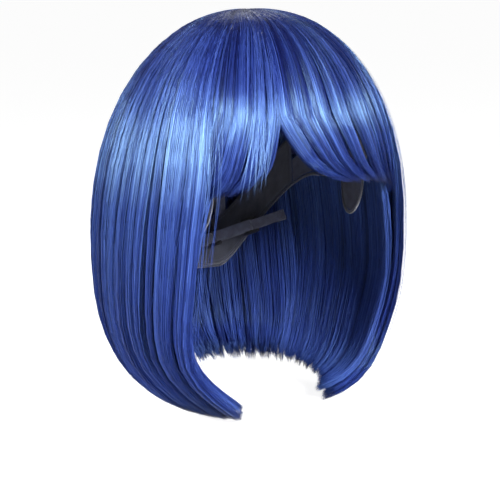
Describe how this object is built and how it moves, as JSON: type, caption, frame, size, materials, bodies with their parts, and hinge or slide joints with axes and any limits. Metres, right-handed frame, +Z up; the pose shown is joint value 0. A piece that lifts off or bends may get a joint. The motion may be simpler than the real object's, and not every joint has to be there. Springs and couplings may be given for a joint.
{
  "type": "wig",
  "caption": "Blue synthetic bob wig with a swept fringe and turned-in ends, on a wefted net cap with ear tabs and sliding elastic strap adjusters at the nape.",
  "frame": {"origin": "The middle of the wearer's head at its widest level, just above the ears. It is the head_seat mount.", "axes": "+Z up through the crown, -Y towards the wearer's face, +X towards the wearer's left ear."},
  "size_m": [0.2258, 0.2306, 0.285],
  "materials": {
    "hair": "glossy synthetic fibre in long smooth strands",
    "under_hair": "synthetic fibre, shaded inner layers",
    "skin": "matte flexible skin-coloured film",
    "net": "fine stretch net",
    "velvet": "short velvet pile",
    "band": "woven stretch cloth",
    "stay": "satin flat strip",
    "ribbon": "ribbed woven elastic",
    "weft": "machine-sewn weft header",
    "adjuster": "moulded smooth plastic",
    "label": "blank satin"
  },
  "bodies": {
    "wig": {"skin_top": "skin", "crown_net": "net", "front_band": "band", "front_lining": "velvet", "side_band_left": "band", "side_band_right": "band", "nape_band": "band", "nape_lining": "velvet", "edge_binding": "velvet", "ear_tab_left": "band", "ear_tab_right": "band", "ear_stay_left": "stay", "ear_stay_right": "stay", "ribbon_back": "ribbon", "ribbon_back_left": "ribbon", "ribbon_back_right": "ribbon", "ribbon_side_left": "ribbon", "ribbon_side_right": "ribbon", "ribbon_ear_left": "ribbon", "ribbon_ear_right": "ribbon", "weft_1": "weft", "weft_2": "weft", "weft_3": "weft", "weft_4": "weft", "weft_5": "weft", "weft_6": "weft", "weft_7": "weft", "weft_8": "weft", "weft_9": "weft", "fringe_weft_upper": "weft", "fringe_weft_lower": "weft", "care_label": "label", "strap_left": "ribbon", "strap_right": "ribbon", "strap_return_left": "ribbon", "strap_return_right": "ribbon", "strap_anchor_left": "ribbon", "strap_anchor_right": "ribbon", "ring_left": "adjuster", "ring_right": "adjuster", "ring_tab_left": "ribbon", "ring_tab_right": "ribbon", "crown_hair": "hair", "fringe_left": "hair", "fringe_right": "hair", "top_hair_side_left": "hair", "top_hair_side_right": "hair", "top_hair_back_left": "hair", "top_hair_back_right": "hair", "weft_hair_side_left": "under_hair", "weft_hair_side_right": "under_hair", "weft_hair_back_upper": "under_hair", "weft_hair_back_lower": "under_hair", "nape_hair": "under_hair"},
    "adjuster_left": {"slider_left": "adjuster"},
    "adjuster_right": {"slider_right": "adjuster"}
  },
  "joints": [
    {"name": "adjust_left", "type": "slide", "parent": "wig", "child": "adjuster_left", "axis": [-0.7051, 0.6347, -0.3162], "range_m": [-0.012, 0.015], "deforming": ["strap_return_left"]},
    {"name": "adjust_right", "type": "slide", "parent": "wig", "child": "adjuster_right", "axis": [0.7051, 0.6347, -0.3162], "range_m": [-0.012, 0.015], "deforming": ["strap_return_right"]}
  ]
}
